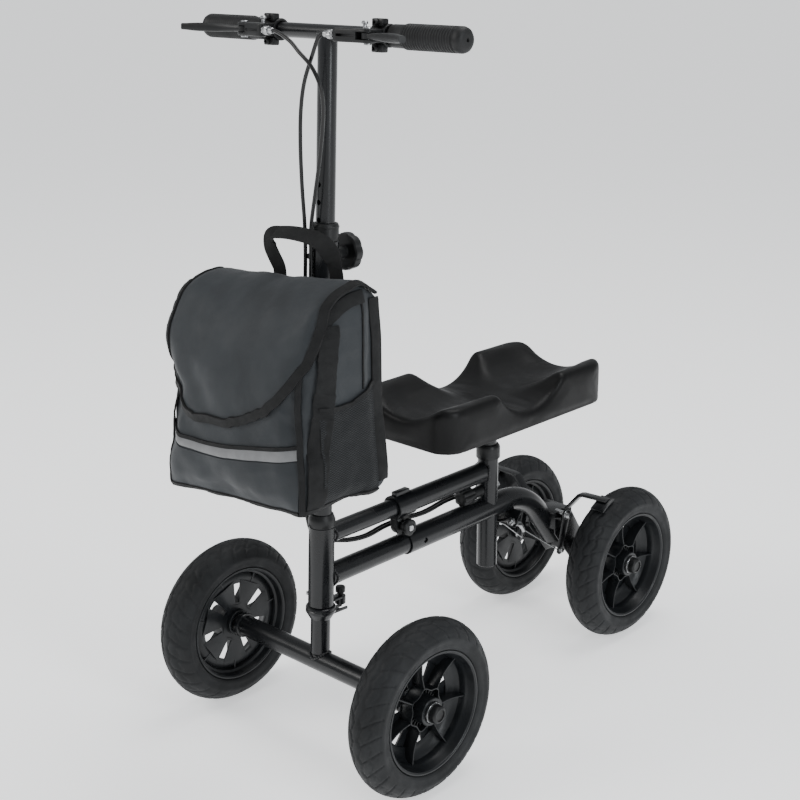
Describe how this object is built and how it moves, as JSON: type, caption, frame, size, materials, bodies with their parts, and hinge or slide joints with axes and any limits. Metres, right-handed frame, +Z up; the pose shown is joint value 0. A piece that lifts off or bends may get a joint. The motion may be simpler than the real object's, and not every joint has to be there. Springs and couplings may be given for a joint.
{
  "type": "knee scooter",
  "caption": "Steerable knee scooter with a padded knee rest, folding height-adjustable handlebar, hand brakes on the rear tyres and a soft front bag.",
  "frame": {"origin": "on the floor, under the middle of the object's box", "axes": "+X to the rider's left, -Y the way it travels, +Z up"},
  "size_m": [0.452, 0.8222, 0.9768],
  "materials": {
    "powder_coat": "satin",
    "moulded_black": "matte",
    "rim_plastic": "satin",
    "tyre": "matte",
    "grip_rubber": "matte",
    "zinc_steel": "satin",
    "pad_vinyl": "satin",
    "bag_fabric": "matte",
    "webbing": "matte",
    "cable_sheath": "satin"
  },
  "bodies": {
    "rear_frame": {"lower_rear_tube": "powder_coat", "upper_rear_tube": "powder_coat", "seat_tube": "powder_coat", "seat_tube_bush": "moulded_black", "frame_clamp": "moulded_black", "rear_axle_bracket": "powder_coat", "rear_axle": "powder_coat", "cable_stop_left": "zinc_steel", "cable_stop_right": "zinc_steel", "wheel_cap_rear_left": "moulded_black", "wheel_cap_rear_right": "moulded_black", "brake_cable_lower_left": "cable_sheath", "brake_cable_lower_right": "cable_sheath"},
    "frame_clamp_knob": {"frame_clamp_knob": "moulded_black"},
    "seat_height_knob": {"seat_height_knob": "moulded_black"},
    "seat": {"seat_post": "powder_coat", "seat_plate": "powder_coat", "seat_pad": "pad_vinyl"},
    "brake_arm_left": {"brake_arm_left": "powder_coat"},
    "brake_arm_right": {"brake_arm_right": "powder_coat"},
    "front_frame": {"head_tube": "powder_coat", "upper_front_tube": "powder_coat", "lower_front_tube": "powder_coat"},
    "steering_lock_pin": {"steering_lock_pin": "moulded_black"},
    "steering": {"fork_column": "powder_coat", "front_axle": "powder_coat", "lower_bearing_ring": "powder_coat", "upper_bearing_ring": "moulded_black", "fold_bracket_lower": "powder_coat", "wheel_cap_front_left": "moulded_black", "wheel_cap_front_right": "moulded_black"},
    "fold_lever": {"fold_lever": "moulded_black"},
    "column": {"outer_column": "powder_coat", "fold_bracket_upper": "powder_coat", "height_collar": "moulded_black", "bag": "bag_fabric", "bag_handle": "webbing"},
    "height_knob": {"height_knob": "moulded_black"},
    "handlebar": {"handlebar": "powder_coat", "grip_left": "grip_rubber", "grip_right": "grip_rubber", "lever_bracket_left": "moulded_black", "lever_bracket_right": "moulded_black", "brake_cable_upper_left": "cable_sheath", "brake_cable_upper_right": "cable_sheath"},
    "brake_lever_left": {"brake_lever_left": "moulded_black"},
    "brake_lever_right": {"brake_lever_right": "moulded_black"},
    "wheel_front_left": {"tyre_front_left": "tyre", "rim_front_left": "rim_plastic", "bearing_front_left": "zinc_steel"},
    "wheel_front_right": {"tyre_front_right": "tyre", "rim_front_right": "rim_plastic", "bearing_front_right": "zinc_steel"},
    "wheel_rear_left": {"tyre_rear_left": "tyre", "rim_rear_left": "rim_plastic", "bearing_rear_left": "zinc_steel"},
    "wheel_rear_right": {"tyre_rear_right": "tyre", "rim_rear_right": "rim_plastic", "bearing_rear_right": "zinc_steel"}
  },
  "joints": [
    {"name": "frame_length", "type": "slide", "parent": "rear_frame", "child": "front_frame", "axis": [0, 1, 0], "range_m": [0, 0.06], "deforming": ["brake_cable_lower_left", "brake_cable_lower_right"]},
    {"name": "steering_turn", "type": "hinge", "parent": "front_frame", "child": "steering", "pos_m": [0, -0.261, 0.12014], "axis": [0, 0.0471, 0.9989], "range_deg": [-35, 35]},
    {"name": "steering_lock", "type": "slide", "parent": "front_frame", "child": "steering_lock_pin", "axis": [0, -0.0471, -0.9989], "range_m": [0, 0.004]},
    {"name": "column_fold", "type": "hinge", "parent": "steering", "child": "column", "pos_m": [0, -0.22077, 0.46363], "axis": [-1, 0, 0], "range_deg": [0, 75]},
    {"name": "fold_lever_turn", "type": "hinge", "parent": "steering", "child": "fold_lever", "pos_m": [0.023, -0.24669, 0.44483], "axis": [1, 0, 0], "range_deg": [0, 100]},
    {"name": "handlebar_height", "type": "slide", "parent": "column", "child": "handlebar", "axis": [0, -0.0471, -0.9989], "range_m": [0, 0.15], "deforming": ["brake_cable_upper_left", "brake_cable_upper_right"]},
    {"name": "height_knob_turn", "type": "hinge", "parent": "column", "child": "height_knob", "pos_m": [0, -0.21795, 0.68274], "axis": [0, 0.9989, -0.0471], "range_deg": [0, 720]},
    {"name": "seat_height", "type": "slide", "parent": "rear_frame", "child": "seat", "axis": [0, 0, -1], "range_m": [-0.1, 0.035]},
    {"name": "seat_knob_turn", "type": "hinge", "parent": "rear_frame", "child": "seat_height_knob", "pos_m": [0, 0.093, 0.2725], "axis": [0, 1, 0], "range_deg": [0, 720]},
    {"name": "frame_knob_turn", "type": "hinge", "parent": "rear_frame", "child": "frame_clamp_knob", "pos_m": [0, -0.1, 0.2725], "axis": [1, 0, 0], "range_deg": [0, 720]},
    {"name": "brake_lever_left_pull", "type": "hinge", "parent": "handlebar", "child": "brake_lever_left", "pos_m": [0.108, -0.26148, 0.9591], "axis": [0, 0.0471, 0.9989], "range_deg": [0, 25], "stiffness_Nm_per_rad": 0.6, "springref_deg": -5},
    {"name": "brake_arm_left_press", "type": "hinge", "parent": "rear_frame", "child": "brake_arm_left", "pos_m": [0.04, 0.238, 0.197], "axis": [-1, 0, 0], "range_deg": [0, 3.75]},
    {"name": "brake_lever_right_pull", "type": "hinge", "parent": "handlebar", "child": "brake_lever_right", "pos_m": [-0.108, -0.26148, 0.9591], "axis": [0, -0.0471, -0.9989], "range_deg": [0, 25], "stiffness_Nm_per_rad": 0.6, "springref_deg": -5},
    {"name": "brake_arm_right_press", "type": "hinge", "parent": "rear_frame", "child": "brake_arm_right", "pos_m": [-0.04, 0.238, 0.197], "axis": [-1, 0, 0], "range_deg": [0, 3.75]},
    {"name": "wheel_front_left_spin", "type": "hinge", "parent": "steering", "child": "wheel_front_left", "pos_m": [0.1885, -0.261, 0.12014], "axis": [1, 0, 0], "continuous": true},
    {"name": "wheel_front_right_spin", "type": "hinge", "parent": "steering", "child": "wheel_front_right", "pos_m": [-0.1885, -0.261, 0.12014], "axis": [1, 0, 0], "continuous": true},
    {"name": "wheel_rear_left_spin", "type": "hinge", "parent": "rear_frame", "child": "wheel_rear_left", "pos_m": [0.109, 0.291, 0.12014], "axis": [1, 0, 0], "continuous": true},
    {"name": "wheel_rear_right_spin", "type": "hinge", "parent": "rear_frame", "child": "wheel_rear_right", "pos_m": [-0.109, 0.291, 0.12014], "axis": [1, 0, 0], "continuous": true}
  ],
  "couplings": [
    {"joint": "brake_arm_left_press", "follows": "brake_lever_left_pull", "ratio": 0.15},
    {"joint": "brake_arm_right_press", "follows": "brake_lever_right_pull", "ratio": 0.15}
  ]
}
